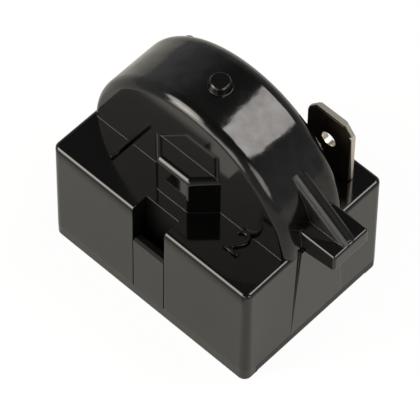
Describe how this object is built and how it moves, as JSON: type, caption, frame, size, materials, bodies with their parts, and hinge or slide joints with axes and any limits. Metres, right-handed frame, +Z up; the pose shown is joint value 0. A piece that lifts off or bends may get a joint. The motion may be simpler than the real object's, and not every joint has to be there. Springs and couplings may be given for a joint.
{
  "type": "compressor start relay",
  "caption": "Plug-in PTC start relay for a small hermetic compressor: a moulded box with a half-disc hump, pin sockets underneath and a spade tab on top.",
  "frame": {"origin": "centre of the base cover's underside, on the surface that the relay stands on", "axes": "+Z up through the crown of the hump, +X along the box towards the pull lug, -Y the front with the notch"},
  "size_m": [0.0345, 0.0222, 0.032],
  "materials": {
    "housing_plastic": "high-gloss black moulded thermoset",
    "cover_plastic": "gloss black moulded plastic",
    "plated_tab": "tin-plated stamped sheet with bright sheared edges",
    "metallised_ceramic": "silver-grey metallised faces on dark ceramic",
    "terminal_brass": "stamped and rolled brass sheet",
    "spring_steel": "formed stainless spring strip",
    "rivet_brass": "headed brass"
  },
  "bodies": {
    "root": {"housing": "housing_plastic", "base_cover": "cover_plastic", "line_tab": "plated_tab", "ptc_disc": "metallised_ceramic", "start_terminal": "terminal_brass", "main_terminal": "terminal_brass", "start_spring": "spring_steel", "line_spring": "spring_steel", "start_socket_clip": "spring_steel", "main_socket_clip": "spring_steel", "contact_rivets": "rivet_brass", "tab_rivet": "rivet_brass"}
  },
  "joints": []
}
